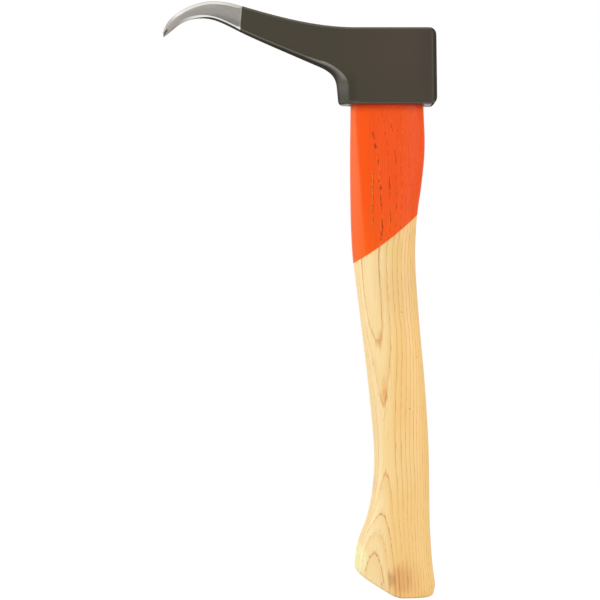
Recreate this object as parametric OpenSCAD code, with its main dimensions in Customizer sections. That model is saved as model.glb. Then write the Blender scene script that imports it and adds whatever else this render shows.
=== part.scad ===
// Hand pickaroon: a forged hook head on a curved ash handle, locked by two wedges.
// The origin is on the axis of the handle at the underside of the head. +Z runs up through the
// eye, the pick points to -X, the poll faces +X and the cheeks face -Y and +Y.

/* [Head block] */
// Height of the eye block from its underside to its flat top
block_h = 48.5; // [45:0.5:54]
// Distance from the handle axis back to the poll face
poll_reach = 31.5; // [30:0.5:36]
// Distance from the handle axis forward to the front face of the eye
front_reach = 31.1; // [30:0.5:36]
// Thickness of the head from cheek to cheek
cheek_w = 30; // [28:0.5:36]
// How far the poll face leans forward from its bottom to its top
poll_lean = 0.6; // [0:0.1:1.5]
// How far the front face of the eye leans forward up to the root of the pick
front_lean = 0.8; // [0:0.1:2]
// Radius of the corner between poll and top
poll_top_r = 4.5; // [2:0.25:6]
// Radius of the corner between poll and underside
poll_low_r = 4.5; // [2:0.25:7]
// Radius of the corner between the front face and the underside
front_low_r = 3; // [2:0.25:4]
// Radius down the upright edges of the poll
poll_edge_r = 3.5; // [1.5:0.25:5]
// Radius along the edges of the cheeks
edge_r = 2; // [1:0.25:2.5]
// Width of the broad rounding down the front of the eye, seen from the side
front_round = 7.5; // [5:0.25:8.5]
// Height on the front face at which the root of the pick begins
root_h = 11.5; // [8:0.5:14]

/* [Pick] */
// Reach of the point forward of the handle axis
point_reach = 143; // [130:0.5:155]
// Reach of the crown, the highest place of the pick
crown_reach = 111; // [105:0.5:116]
// Reach of the paint line at the back of the pick
paint_reach = 92.5; // [86:0.5:97]
// Reach of the place where the fillet at the root of the pick ends
fillet_reach = 44; // [42:0.5:50]
// Rise of the crown above the top of the block
crown_rise = 17.7; // [14:0.5:22]
// Rise of the back of the pick above the top of the block at the paint line
paint_rise = 14.4; // [12:0.1:16]
// Drop from the crown to the upper corner of the point
point_drop = 20.2; // [16:0.5:26]
// How far the highest place of the pick's underside lies ahead of its crown
crown_lag = 6; // [4:0.5:8]
// How far the lower end of the paint line lies ahead of its upper end
paint_slant = 1.2; // [0:0.1:3]
// Depth of the pick at its crown
crown_depth = 10.4; // [8:0.1:13]
// Depth of the pick at the paint line
paint_depth = 15.6; // [12:0.1:17]
// Depth of the pick where the fillet at its root ends
root_depth = 22.6; // [19:0.5:26]
// Angle at which the underside of the pick leaves the fillet
pick_angle = 23; // [18:0.5:28]
// Thickness of the pick at the paint line
paint_w = 14; // [11:0.5:18]
// Thickness of the pick at its crown
crown_w = 11; // [8:0.5:13]
// Width of the blunt point
point_w = 1.4; // [0.8:0.1:2.5]
// Height of the blunt point
point_h = 2.4; // [1:0.1:3.5]
// Width of the ground bevels along the bare end of the pick
bevel_w = 2.4; // [1:0.1:3]

/* [Eye and wedges] */
// Fore and aft depth of the handle where it enters the head
neck_depth = 46.2; // [42:0.2:48]
// Thickness of the handle where it enters the head
neck_w = 21; // [18:0.5:23]
// How much the eye is longer at its top than at its mouth
flare_depth = 2; // [0.5:0.25:3]
// How much the eye is wider at its top than at its mouth
flare_w = 2.5; // [0.5:0.25:3]
// Gap between the wood and the walls of the eye
fit_gap = 0.15; // [0.05:0.05:0.3]
// Size of the bevel round the mouth of the eye
mouth_ease = 0.8; // [0.5:0.1:1.2]
// How far the wood stops below the top of the head
wood_drop = 0.5; // [0.2:0.1:2]
// Length of the wooden wedge
wedge_len = 34; // [24:1:40]
// Thickness of the wooden wedge at its top
wedge_top_w = 5; // [3.5:0.25:6]
// Thickness of the wooden wedge at its thin end
wedge_low_w = 1.2; // [0.8:0.1:2]
// Depth of the saw kerf past the thin end of the wedge
kerf_spare = 3; // [1:0.5:6]
// Gap between a wedge and the wood round it
wedge_gap = 0.05; // [0.03:0.01:0.1]
// Outer radius of the ring wedge at its top
ring_r = 7.5; // [5:0.25:9]
// Wall of the ring wedge at its top
ring_wall = 1.5; // [1:0.1:2]
// Wall of the ring wedge at its sharp end
ring_edge = 0.5; // [0.3:0.1:0.9]
// Length of the ring wedge
ring_len = 14; // [8:0.5:18]

/* [Handle] */
// Length of the handle from the underside of the head to its butt
handle_len = 313; // [290:0.5:350]
// Distance from the head down to the throat, the hollow behind the neck
throat_h = 98; // [88:1:108]
// Height of the middle of the grip above the butt
grip_up = 92; // [84:1:100]
// How far the belly stands behind the axis, below the head
belly_back = 23.9; // [22:0.1:27]
// How far the front stands in front of the axis at the throat
throat_front = 21.6; // [19:0.1:24]
// How far the back stands behind the axis at the throat
throat_back = 18.1; // [15:0.1:21]
// How far the front of the grip stands in front of the axis
grip_front = 8.3; // [6:0.1:11]
// How far the back of the grip stands behind the axis
grip_back = 26.8; // [24:0.1:29]
// How far the toe of the knob stands in front of the axis
toe_front = 21; // [17:0.1:25]
// How far the heel of the knob stands behind the axis
heel_back = 31.4; // [29:0.1:34]
// Thickness of the handle at the throat
throat_w = 22; // [19:0.5:25]
// Thickness of the grip
grip_w = 24; // [21:0.5:27]
// Thickness of the knob
knob_w = 27; // [24:0.5:31]
// Height of the toe of the knob above the butt
toe_h = 19; // [15:0.5:23]
// How far the flat of the butt ends behind the axis, where the slanted cut begins
cut_back = 6; // [1:0.5:9]
// Radius of the heel, seen from the side
heel_r = 6; // [4:0.5:9]
// Radius round the edge of the butt
butt_r = 1.5; // [0.75:0.25:3]

/* [Paint on the handle] */
// Thickness of the dipped paint
coat_t = 0.2; // [0.15:0.05:0.4]
// Gap between the wood and the paint, so that the two stay separate solids
coat_gap = 0.05; // [0.03:0.01:0.1]
// Distance of the paint edge below the head at the front of the handle
coat_front = 100.5; // [85:0.5:115]
// Distance of the paint edge below the head at the back of the handle
coat_back = 71; // [60:0.5:80]
// Sag of the paint edge below a straight line
coat_sag = 2.2; // [0:0.1:4]

/* [Hidden] */

PAINT = "#4a443b";
STEEL = "#a5a19a";
WOOD = "#eec68a";
WEDGE_WOOD = "#b98a5a";
ORANGE = "#f4581f";

// Length by which a cutter passes through a face
PAST = 1;

function mix(a, b, t) = a + (b - a) * t;
function clamp01(t) = min(1, max(0, t));
function smooth(t) = let (c = clamp01(t)) c * c * (3 - 2 * c);
function steps(n) = [for (i = [1:n]) i / n];
function reversed(list) = [for (i = [len(list) - 1:-1:0]) list[i]];
function bezier(p, t) =
    let (q = 1 - t)
    q * q * q * p[0] + 3 * q * q * t * p[1] + 3 * q * t * t * p[2] + t * t * t * p[3];

// Curved stretch of an outline that leaves a at one angle and reaches b at another. The angles
// are measured upwards from straight ahead, and a pull is a share of the way from a to b.
function heading(angle) = [-cos(angle), sin(angle)];
function stretch(a, b, angle_a, angle_b, pull_a, pull_b) =
    let (d = norm(b - a))
    [a, a + pull_a * d * heading(angle_a), b - pull_b * d * heading(angle_b), b];

// Smooth curve through rows [place, value], with the places falling from row to row
function row_slope(rows, i) =
    let (a = max(i - 1, 0), b = min(i + 1, len(rows) - 1))
    (rows[b][1] - rows[a][1]) / (rows[b][0] - rows[a][0]);
function row_index(rows, x) = max([for (i = [0:len(rows) - 2]) x <= rows[i][0] ? i : 0]);
function curve(rows, x) =
    let (i = row_index(rows, x),
         a = rows[i], b = rows[i + 1],
         h = b[0] - a[0],
         t = clamp01((x - a[0]) / h),
         q = 1 - t)
    a[1] * (1 + 2 * t) * q * q + b[1] * (3 - 2 * t) * t * t
    + h * row_slope(rows, i) * t * q * q - h * row_slope(rows, i + 1) * q * t * t;

// A ring is a half outline on the +Y side and its mirror image. The half may start and end on
// the middle plane, and such a point isn't repeated.
function whole_ring(half) =
    concat(half, [for (k = [len(half) - 1:-1:0])
        if (half[k][1] != 0) [half[k][0], -half[k][1], half[k][2]]]);

function wall_faces(n, m, at, flip) =
    [for (i = [0:n - 2], j = [0:m - 1])
        let (k = (j + 1) % m,
             a = at + i * m + j, b = at + i * m + k,
             c = at + (i + 1) * m + k, d = at + (i + 1) * m + j)
        each flip ? [[a, c, b], [a, d, c]] : [[a, b, c], [a, c, d]]];

// Wall whose four-cornered places are each cut along their shorter diagonal, for a skew surface
function skew_wall_faces(points, n, m) =
    [for (i = [0:n - 2], j = [0:m - 1])
        let (k = (j + 1) % m,
             a = i * m + j, b = i * m + k, c = (i + 1) * m + k, d = (i + 1) * m + j)
        each norm(points[a] - points[c]) < norm(points[b] - points[d]) + 0.001
             ? [[a, b, c], [a, c, d]] : [[a, b, d], [b, c, d]]];

// Strips across a ring, each between two neighbours and their mirror images
function cap_faces(ring, at, flip) =
    let (m = len(ring), shift = ring[0][1] == 0 ? 0 : 1)
    [for (k = [0:m / 2 - 1 - shift])
        let (a = at + k, b = at + k + 1,
             c = at + (m - k - 1 - shift) % m, d = at + (m - k - shift) % m,
             strip = a == d ? [a, b, c] : b == c ? [a, b, d] : [a, b, c, d])
        flip ? reversed(strip) : strip];

module loft(rings, skew = false) {
    m = len(rings[0]);
    n = len(rings);
    points = [for (r = rings) each r];
    polyhedron(points = points,
               faces = concat(skew ? skew_wall_faces(points, n, m) : wall_faces(n, m, 0, false),
                              cap_faces(rings[0], 0, true),
                              cap_faces(rings[n - 1], (n - 1) * m, false)),
               convexity = 6);
}

// A thin wall between two sets of rings
module sleeve(outer, inner) {
    m = len(outer[0]);
    n = len(outer);
    last = (n - 1) * m;
    first_rim = [for (j = [0:m - 1]) let (k = (j + 1) % m)
        each [[j, n * m + k, k], [j, n * m + j, n * m + k]]];
    last_rim = [for (j = [0:m - 1]) let (k = (j + 1) % m)
        each [[last + j, last + k, n * m + last + k],
              [last + j, n * m + last + k, n * m + last + j]]];
    polyhedron(points = [for (r = concat(outer, inner)) each r],
               faces = concat(wall_faces(n, m, 0, false), wall_faces(n, m, n * m, true),
                              first_rim, last_rim),
               convexity = 8);
}

// Head: four outlines seen from the side, each with one point per rung. The rungs run from the
// poll to the point and fan round the front of the eye, where the underside turns upwards.

// Length of the front of the block, where its rounding broadens and its top starts to rise
NOSE_LEN = 13;
// Angles of the pick's back and underside at the paint line and at the point
BACK_ANGLE = 17;
UNDER_ANGLE = 26;
POINT_BACK_ANGLE = -77.5;
POINT_UNDER_ANGLE = -32.5;
// Radius of the cheek's own lower front corner
CHEEK_CORNER_R = 0.8;
// Share of the cheek's thickness that is left at the fillet, and halfway to the paint line
FILLET_PLUMP = 0.68;
NECK_PLUMP = 0.3;

// Rungs of the poll's rounded rim and of the block, as shares of their lengths
RIM_STEPS = [0, 0.04, 0.12, 0.25, 0.45, 0.7, 1];
BLOCK_STEPS = [0.08, 0.32, 0.6, 0.82, 0.88, 0.92, 0.95, 0.975, 1];
CORNER_STEPS = [-0.35, 0, 0.25, 0.5, 0.75, 1];
FRONT_RUNGS = 3;
FILLET_RUNGS = 9;
NECK_RUNGS = 8;
CROWN_RUNGS = 7;
POINT_RUNGS = 14;
// Share of the curve of the back that is passed while the underside turns round the eye, and
// the part of that share which belongs to the front of the eye
FAN_SHARE = 0.36;
FRONT_FAN = 0.2;
// Angle that a worked lower edge turns through before it meets the cheek at a line
UNDER_TURN = 58;
// Steps round a quarter of a cheek edge, and across a cheek
ROUND_STEPS = 5;
CHEEK_STEPS = 3;

half_w = cheek_w / 2;
crown_z = block_h + crown_rise;
low_edge = edge_r * 0.85;
rim_depth = max(poll_edge_r, poll_top_r, poll_low_r);
rim_x = poll_reach - rim_depth;
block_x = NOSE_LEN - front_reach;
front_x = -front_reach;
cheek_x = front_x - front_lean / 2 + front_round;
front_angle = 90 - atan(front_lean / (root_h - front_low_r));

paint_top = [-paint_reach, block_h + paint_rise];
paint_low = paint_top - [paint_slant, paint_depth];
crown_top = [-crown_reach, crown_z];
crown_low = crown_top - [crown_lag, crown_depth];
point_top = [-point_reach, crown_z - point_drop];
point_low = point_top + [point_h * 0.3, -point_h];
front_top = [front_x - front_lean, root_h];
fillet_end = [-fillet_reach, block_h - root_depth];

back_curve = stretch([block_x, block_h], paint_top, 0, BACK_ANGLE, 0.32, 0.39);
crown_curve = stretch(paint_top, crown_top, BACK_ANGLE, 0, 0.22, 0.43);
point_curve = stretch(crown_top, point_top, 0, POINT_BACK_ANGLE, 0.26, 0.37);

fillet_curve = stretch(front_top, fillet_end, front_angle, pick_angle, 0.35, 0.49);
neck_curve = stretch(fillet_end, paint_low, pick_angle, UNDER_ANGLE, 0.32, 0.23);
inner_curve = stretch(paint_low, crown_low, UNDER_ANGLE, 0, 0.34, 0.32);
hook_curve = stretch(crown_low, point_low, 0, POINT_UNDER_ANGLE, 0.515, 0.32);

fan = len(CORNER_STEPS) + FRONT_RUNGS + FILLET_RUNGS;
eye_rungs = len(BLOCK_STEPS) + len(CORNER_STEPS) + FRONT_RUNGS;
paint_rung = len(BLOCK_STEPS) + fan + NECK_RUNGS - 1;
last_rung = paint_rung + CROWN_RUNGS + POINT_RUNGS;

function fan_at(k) = let (front = len(CORNER_STEPS) + FRONT_RUNGS)
    k <= front ? FRONT_FAN * k / front : mix(FRONT_FAN, 1, (k - front) / FILLET_RUNGS);

back_line = concat(
    [for (s = BLOCK_STEPS) [mix(rim_x, block_x * 0.93, s), block_h]],
    [for (k = [1:fan]) bezier(back_curve, fan_at(k) * FAN_SHARE)],
    [for (t = steps(NECK_RUNGS)) bezier(back_curve, mix(FAN_SHARE, 1, t))],
    [for (t = steps(CROWN_RUNGS)) bezier(crown_curve, t)],
    [for (t = steps(POINT_RUNGS)) bezier(point_curve, t)]);

// Quarter of a circle from the underside up to the front, with its centre behind the front. A
// share below 0 lies on the flat underside before it.
function low_corner(x, z, r, t) = t < 0
    ? [x + r * (1 - 90 * t * PI / 180), z]
    : [x + r * (1 - sin(90 * t)), z + r * (1 - cos(90 * t))];

under_line = concat(
    [for (s = BLOCK_STEPS) [mix(rim_x, cheek_x, s), 0]],
    [for (t = CORNER_STEPS) low_corner(front_x, 0, front_low_r, t)],
    [for (t = steps(FRONT_RUNGS)) mix([front_x, front_low_r], front_top, t)],
    [for (t = steps(FILLET_RUNGS)) bezier(fillet_curve, t)],
    [for (t = steps(NECK_RUNGS)) bezier(neck_curve, t)],
    [for (t = steps(CROWN_RUNGS)) bezier(inner_curve, t)],
    [for (t = steps(POINT_RUNGS)) bezier(hook_curve, t)]);

// Unit vector square to a line at a point of it, to the left of the line's direction
function left_of(line, i) =
    let (d = line[min(i + 1, len(line) - 1)] - line[max(i - 1, 0)])
    [-d[1], d[0]] / norm(d);

function past_paint(i) = clamp01(i - paint_rung);

// Half thickness of the head along the pick
plan_rows = [[block_x, half_w],
             [-fillet_reach, mix(paint_w / 2, half_w, FILLET_PLUMP)],
             [-(fillet_reach + paint_reach) / 2, mix(paint_w / 2, half_w, NECK_PLUMP)],
             [-paint_reach, paint_w / 2],
             [-crown_reach, crown_w / 2],
             [-(crown_reach + point_reach) / 2, crown_w * 0.33],
             [-mix(crown_reach, point_reach, 0.8), crown_w * 0.17],
             [-point_reach, point_w / 2]];
function plan_half(x) = x >= block_x ? half_w : curve(plan_rows, max(x, -point_reach));

// Width of the worked edge along back and underside, seen from the side
function back_edge(i) =
    min(mix(edge_r, bevel_w * 0.9, past_paint(i)), norm(back_line[i] - under_line[i]) * 0.3);
function under_edge(i) =
    min(mix(edge_r * 1.1, bevel_w * 0.55, past_paint(i)),
        norm(back_line[i] - under_line[i]) * 0.3);

cheek_front_top = [cheek_x - front_lean * 0.4, root_h];
cheek_fillet_end = fillet_end + edge_r * 1.1 * [sin(pick_angle), cos(pick_angle)];
cheek_fillet = stretch(cheek_front_top, cheek_fillet_end, front_angle, pick_angle * 0.7,
                       0.25, 0.38);

cheek_back = [for (i = [0:last_rung]) back_line[i] + back_edge(i) * left_of(back_line, i)];
cheek_under = concat(
    [for (s = BLOCK_STEPS) [mix(rim_x, cheek_x * 0.82, s), low_edge]],
    [for (t = CORNER_STEPS) low_corner(cheek_x, low_edge, CHEEK_CORNER_R, t)],
    [for (t = steps(FRONT_RUNGS))
        mix([cheek_x, low_edge + CHEEK_CORNER_R], cheek_front_top, t)],
    [for (t = steps(FILLET_RUNGS)) bezier(cheek_fillet, t)],
    [for (i = [eye_rungs + FILLET_RUNGS:last_rung])
        under_line[i] - under_edge(i) * left_of(under_line, i)]);

function on_nose(i) = smooth((block_x - under_line[i][0]) / (NOSE_LEN - front_low_r * 0.7));

// Depth of the rounding across the thickness, broad down the front of the eye
function under_round(i) =
    let (leave = smooth((i - eye_rungs) / FILLET_RUNGS))
    mix(mix(edge_r * 0.9, front_round * 1.5, on_nose(i)), edge_r * 1.1, leave);
function under_turn(i) = mix(90, UNDER_TURN, on_nose(i));

// Half thicknesses along the cheek of a rung, from the back to the underside
function across(i) = [for (k = [0:CHEEK_STEPS])
    plan_half(mix(cheek_back[i], cheek_under[i], k / CHEEK_STEPS)[0])];

// Half outline of one rung: an arc or a bevel from a line to the cheek line. The arc turns
// through the given angle, and meets the cheek smoothly only where that is 90.
function edge_points(line_p, cheek_p, w, depth, turn, sharp) =
    [for (k = [0:ROUND_STEPS])
        let (t = k / ROUND_STEPS,
             s = mix((1 - cos(turn * t)) / (1 - cos(turn)), t, sharp),
             h = mix(sin(turn * t) / sin(turn), t, sharp),
             p = mix(line_p, cheek_p, s))
        [p[0], w - depth + depth * h, p[1]]];
function rung_half(top, top_cheek, low, low_cheek, w, top_depth, low_depth, low_turn, sharp) =
    concat(edge_points(top, top_cheek, w[0], top_depth, 90, sharp),
           [for (k = [1:CHEEK_STEPS - 1])
               let (p = mix(top_cheek, low_cheek, k / CHEEK_STEPS)) [p[0], w[k], p[1]]],
           reversed(edge_points(low, low_cheek, w[CHEEK_STEPS], low_depth, low_turn, sharp)));

function rung(i) =
    let (w = across(i), sharp = past_paint(i))
    whole_ring(rung_half(back_line[i], cheek_back[i], under_line[i], cheek_under[i], w,
                         min(mix(edge_r, w[0] * 0.45, sharp), w[0] * 0.8),
                         min(under_round(i), w[CHEEK_STEPS] * 0.75), under_turn(i), sharp));

// How far a rounded corner of radius r stands back at a distance d from its face
function corner_back(r, d) = d >= r ? 0 : r - sqrt(r * r - (r - d) * (r - d));
function on_poll(d, z) = [poll_reach - d - poll_lean * z / block_h, z];

// One rung of the rounded rim of the poll, d in from its face
function poll_rung(d) =
    let (top = block_h - corner_back(poll_top_r, d),
         low = corner_back(poll_low_r, d),
         w = [for (k = [0:CHEEK_STEPS]) half_w - corner_back(poll_edge_r, d)])
    whole_ring(rung_half(on_poll(d, top), on_poll(d, top - edge_r),
                         on_poll(d, low), on_poll(d, low + low_edge),
                         w, edge_r, edge_r * 0.9, 90, 0));

head_rings = concat([for (s = RIM_STEPS) poll_rung(s * rim_depth)],
                    [for (i = [0:last_rung]) rung(i)]);
paint_ring = len(RIM_STEPS) + paint_rung;

module forging(first, last) {
    loft([for (i = [last:-1:first]) head_rings[i]], skew = true);
}

module head() {
    color(PAINT) difference() {
        forging(0, paint_ring);
        eye();
    }
    color(STEEL) forging(paint_ring, len(head_rings) - 1);
}

// Handle: front and back edges seen from the side, and the thickness, all against height

// Squareness of the handle's sections, where 2 is an ellipse
NECK_SQUARE = 2.9;
GRIP_SQUARE = 2.5;
KNOB_SQUARE = 2.7;
SECTION_POINTS = 36;
NECK_RINGS = 16;
SHAFT_RINGS = 19;
GRIP_RINGS = 7;
KNOB_RINGS = 9;
BUTT_RINGS = 4;
COAT_RINGS = 18;
TENON_STEPS = [1, 0.5, 0];
// Share of the toe's height that its rounded corner takes, and how tight that corner is
TOE_SHARE = 0.13;
TOE_TIGHT = 10;

neck_x = neck_depth / 2;
tenon_top = block_h - wood_drop;
grip_z = grip_up - handle_len;
toe_z = toe_h - handle_len;

// Heights by their share of the way from head to throat, throat to grip and grip to toe
function neck_at(s) = -throat_h * s;
function shaft_at(s) = mix(-throat_h, grip_z, s);
function knob_at(s) = mix(grip_z, toe_z, s);

front_rows = [[0, -neck_x],
              [neck_at(0.41), -neck_x - 0.3],
              [neck_at(0.79), mix(-neck_x, -throat_front, 0.2)],
              [neck_at(1), -throat_front],
              [shaft_at(0.29), mix(-throat_front, -grip_front, 0.32)],
              [shaft_at(0.65), mix(-throat_front, -grip_front, 0.72)],
              [grip_z, -grip_front],
              [knob_at(0.33), mix(-grip_front, -toe_front, 0.09)],
              [knob_at(0.58), mix(-grip_front, -toe_front, 0.4)],
              [knob_at(0.78), mix(-grip_front, -toe_front, 0.83)],
              [toe_z, -toe_front],
              [-handle_len, -toe_front - 1]];
back_rows = [[0, neck_x],
             [neck_at(0.29), belly_back],
             [neck_at(0.55), mix(belly_back, throat_back, 0.42)],
             [neck_at(0.66), mix(belly_back, throat_back, 0.71)],
             [neck_at(0.79), mix(belly_back, throat_back, 0.89)],
             [neck_at(1), throat_back],
             [shaft_at(0.29), mix(throat_back, grip_back, 0.26)],
             [shaft_at(0.66), mix(throat_back, grip_back, 0.72)],
             [grip_z, grip_back],
             [knob_at(0.62), mix(grip_back, heel_back, 0.15)],
             [toe_z, mix(grip_back, heel_back, 0.55)],
             [heel_r - handle_len, heel_back],
             [-handle_len, heel_back]];
thick_rows = [[0, neck_w],
              [neck_at(0.41), neck_w + 0.3],
              [neck_at(1), throat_w],
              [grip_z, grip_w],
              [knob_at(0.55), mix(grip_w, knob_w, 0.6)],
              [knob_at(0.95), knob_w],
              [-handle_len, knob_w - 0.6]];
square_rows = [[0, NECK_SQUARE],
               [neck_at(1), NECK_SQUARE],
               [grip_z, GRIP_SQUARE],
               [toe_z, KNOB_SQUARE],
               [-handle_len, KNOB_SQUARE]];

function back_x(z) =
    let (d = heel_r - handle_len - z)
    curve(back_rows, z) - (d > 0 ? heel_r - sqrt(max(0, heel_r * heel_r - d * d)) : 0);

// Point on the handle at height z and turn a, with the section grown by g all round.
// Above the underside of the head the tenon widens as the eye does.
function handle_point(z, a, g) =
    let (up = max(z, 0) / block_h,
         front = z > 0 ? -neck_x : curve(front_rows, z),
         back = z > 0 ? neck_x : back_x(z),
         depth_r = (back - front + up * flare_depth) / 2 + g,
         thick_r = ((z > 0 ? neck_w : curve(thick_rows, z)) + up * flare_w) / 2 + g,
         n = z > 0 ? NECK_SQUARE : curve(square_rows, z),
         c = cos(a), s = sin(a))
    [(front + back) / 2 - depth_r * sign(c) * pow(abs(c), 2 / n),
     thick_r * pow(abs(s), 2 / n), z];

half_turns = [for (k = [0:SECTION_POINTS / 2]) k * 360 / SECTION_POINTS];
function section(z, g) = whole_ring([for (a = half_turns) handle_point(z, a, g)]);

// Underside of the butt: flat at the heel, then a slanted cut that steepens at the toe
function butt_z(x) =
    let (u = max(0, (cut_back - x) / (toe_front + cut_back)))
    -handle_len + toe_h * mix(u, pow(u, TOE_TIGHT), TOE_SHARE);
// Point of the handle on a surface that lies above the butt by lift, found by repeated trial
function butt_point(a, g, lift, share, z, tries) =
    let (p = handle_point(z, a, g),
         next = mix(knob_start, butt_z(p[0]) + lift, share))
    tries == 0 ? p : butt_point(a, g, lift, share, next, tries - 1);
function butt_ring(g, lift, share) =
    whole_ring([for (a = half_turns) butt_point(a, g, lift, share, knob_start, 8)]);

knob_start = knob_at(0.55);
handle_rings = concat(
    [for (s = TENON_STEPS) section(s * tenon_top, 0)],
    [for (t = steps(NECK_RINGS)) section(neck_at(t), 0)],
    [for (t = steps(SHAFT_RINGS)) section(shaft_at(t), 0)],
    [for (t = steps(GRIP_RINGS)) section(mix(grip_z, knob_start, t), 0)],
    [for (t = steps(KNOB_RINGS)) butt_ring(0, butt_r, t)],
    [for (t = steps(BUTT_RINGS))
        butt_ring(-butt_r * (1 - cos(90 * t)), butt_r * (1 - sin(90 * t)), 1)]);

// Eye: the tenon's own shape with the fitting gap, and a bevel round its mouth
module eye() {
    loft([section(-PAST, fit_gap + mouth_ease + PAST),
          section(mouth_ease, fit_gap),
          section(block_h + PAST, fit_gap)]);
}

module handle() {
    color(WOOD) difference() {
        loft(reversed(handle_rings));
        slot(wedge_gap, kerf_spare);
        ring_shape(wedge_gap, PAST);
    }
}

// Wedge-shaped slot along the length of the eye, open at its top and both ends
module slot(gap, spare) {
    top_half = wedge_top_w / 2 + gap;
    low_half = wedge_low_w / 2 + gap;
    low_z = tenon_top - wedge_len;
    rotate([90, 0, 90]) linear_extrude(height = 2 * neck_depth, center = true)
        polygon([[-top_half, tenon_top + PAST], [-top_half, tenon_top], [-low_half, low_z],
                 [-low_half, low_z - spare], [low_half, low_z - spare], [low_half, low_z],
                 [top_half, tenon_top], [top_half, tenon_top + PAST]]);
}

// Tapered ring with its sharp end down
module ring_shape(gap, above) {
    mid_r = ring_r - ring_wall / 2;
    top_half = ring_wall / 2 + gap;
    low_half = ring_edge / 2 + gap;
    translate([0, 0, tenon_top]) rotate_extrude($fn = 48)
        polygon([[mid_r - top_half, above], [mid_r - top_half, 0],
                 [mid_r - low_half, -ring_len - gap], [mid_r + low_half, -ring_len - gap],
                 [mid_r + top_half, 0], [mid_r + top_half, above]]);
}

module wood_wedge() {
    color(WEDGE_WOOD) difference() {
        intersection() {
            slot(0, 0);
            loft([section(-PAST, 0), section(tenon_top, 0)]);
        }
        ring_shape(wedge_gap, PAST);
    }
}

module ring_wedge() {
    color(STEEL) ring_shape(0, 0);
}

// Paint on the handle: it starts just inside the mouth of the eye and ends on a sagging line
function coat_edge(x) =
    let (u = (x + throat_front) / (throat_front + throat_back))
    -mix(coat_front, coat_back, u) - coat_sag * 4 * u * (1 - u);
function coat_point(a, g, s, z, tries) =
    let (p = handle_point(z, a, g), next = mix(mouth_ease * 0.4, coat_edge(p[0]), s))
    tries == 0 ? p : coat_point(a, g, s, next, tries - 1);
function coat_rings(g) =
    [for (i = [0:COAT_RINGS])
        whole_ring([for (a = half_turns) coat_point(a, g, i / COAT_RINGS, 0, 6)])];

module handle_coat() {
    color(ORANGE)
        sleeve(reversed(coat_rings(coat_gap + coat_t)), reversed(coat_rings(coat_gap)));
}

head();
handle();
handle_coat();
wood_wedge();
ring_wedge();
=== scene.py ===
# %% [markdown]
# A short one-handed pickaroon: a painted steel head with a long curved pick, on an ash handle
# with an orange dipped neck. The imported model gives every solid piece at its real place, in
# metres. This lesson dresses it: the skins are made smooth, and each finish is built from nodes.
# The box round the imported model is kept first, and printed at the end.

# %% Load the frame
import math

import bmesh
import bpy
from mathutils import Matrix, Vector


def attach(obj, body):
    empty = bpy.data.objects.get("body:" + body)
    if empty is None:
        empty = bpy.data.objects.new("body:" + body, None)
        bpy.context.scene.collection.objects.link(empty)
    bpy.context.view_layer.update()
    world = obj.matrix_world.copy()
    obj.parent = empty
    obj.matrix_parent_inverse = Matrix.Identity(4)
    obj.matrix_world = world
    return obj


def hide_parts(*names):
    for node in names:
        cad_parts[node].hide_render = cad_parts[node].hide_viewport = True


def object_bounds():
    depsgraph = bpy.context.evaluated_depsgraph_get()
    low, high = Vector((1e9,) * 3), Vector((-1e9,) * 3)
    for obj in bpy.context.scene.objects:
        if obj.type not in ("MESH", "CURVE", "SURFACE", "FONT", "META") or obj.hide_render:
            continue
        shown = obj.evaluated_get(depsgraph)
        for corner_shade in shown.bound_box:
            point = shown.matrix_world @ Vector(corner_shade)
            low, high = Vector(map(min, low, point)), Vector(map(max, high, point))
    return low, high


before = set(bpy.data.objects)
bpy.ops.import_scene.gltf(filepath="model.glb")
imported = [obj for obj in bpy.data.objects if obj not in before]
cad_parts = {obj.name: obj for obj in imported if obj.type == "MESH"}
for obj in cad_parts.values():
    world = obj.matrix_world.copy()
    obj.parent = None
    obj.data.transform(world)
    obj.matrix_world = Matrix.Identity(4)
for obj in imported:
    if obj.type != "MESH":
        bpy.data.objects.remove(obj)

cad_low, cad_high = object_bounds()
scene = bpy.context.scene
scene.view_settings.view_transform = "Standard"
print("pieces in the frame:", sorted(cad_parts))

# %% [markdown]
# The photograph was taken from the side with a long lens, level with the middle of the tool. A
# camera 1.55 m away with its lens set for a view 383 mm wide gives the same outline, with the
# tool from edge to edge of the frame. The camera stays level, so nothing leans.

# %% Camera
CAMERA_BACK = 1.55
VIEW_WIDTH = 0.38256
VIEW_X = -0.0554
VIEW_Z = -0.1240
SENSOR = 36.0
NEAREST = 0.05
FARTHEST = 50.0


def make_camera():
    data = bpy.data.cameras.new("side_camera")
    data.sensor_width = SENSOR
    data.lens = SENSOR * CAMERA_BACK / VIEW_WIDTH
    data.clip_start = NEAREST
    data.clip_end = FARTHEST
    camera = bpy.data.objects.new("side_camera", data)
    camera.location = (VIEW_X, -CAMERA_BACK, VIEW_Z)
    camera.rotation_euler = (math.radians(90), 0, 0)
    scene.collection.objects.link(camera)
    scene.camera = camera


make_camera()
print("lens:", round(scene.camera.data.lens, 1), "mm")

# %% [markdown]
# The finishes are node trees, and a tree is long when every node and link is spelled out. Three
# helpers keep it short: one adds a node and links or sets its inputs, one does a sum, and one
# rescales a value. Each gives back a socket, so that steps nest like ordinary formulas.

# %% Nodes, sums and ranges
def add(tree, kind, inputs=None, **settings):
    """Adds a node. An input is given by its name or number, and is a socket or a plain value."""
    made = tree.nodes.new(kind)
    for key, value in settings.items():
        setattr(made, key, value)
    for key, value in (inputs or {}).items():
        if isinstance(value, bpy.types.NodeSocket):
            tree.links.new(value, made.inputs[key])
        else:
            made.inputs[key].default_value = value
    return made


def calc(tree, operation, *values):
    """Socket with the result of a sum on sockets and numbers."""
    return add(tree, "ShaderNodeMath", dict(enumerate(values)), operation=operation).outputs[0]


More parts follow.
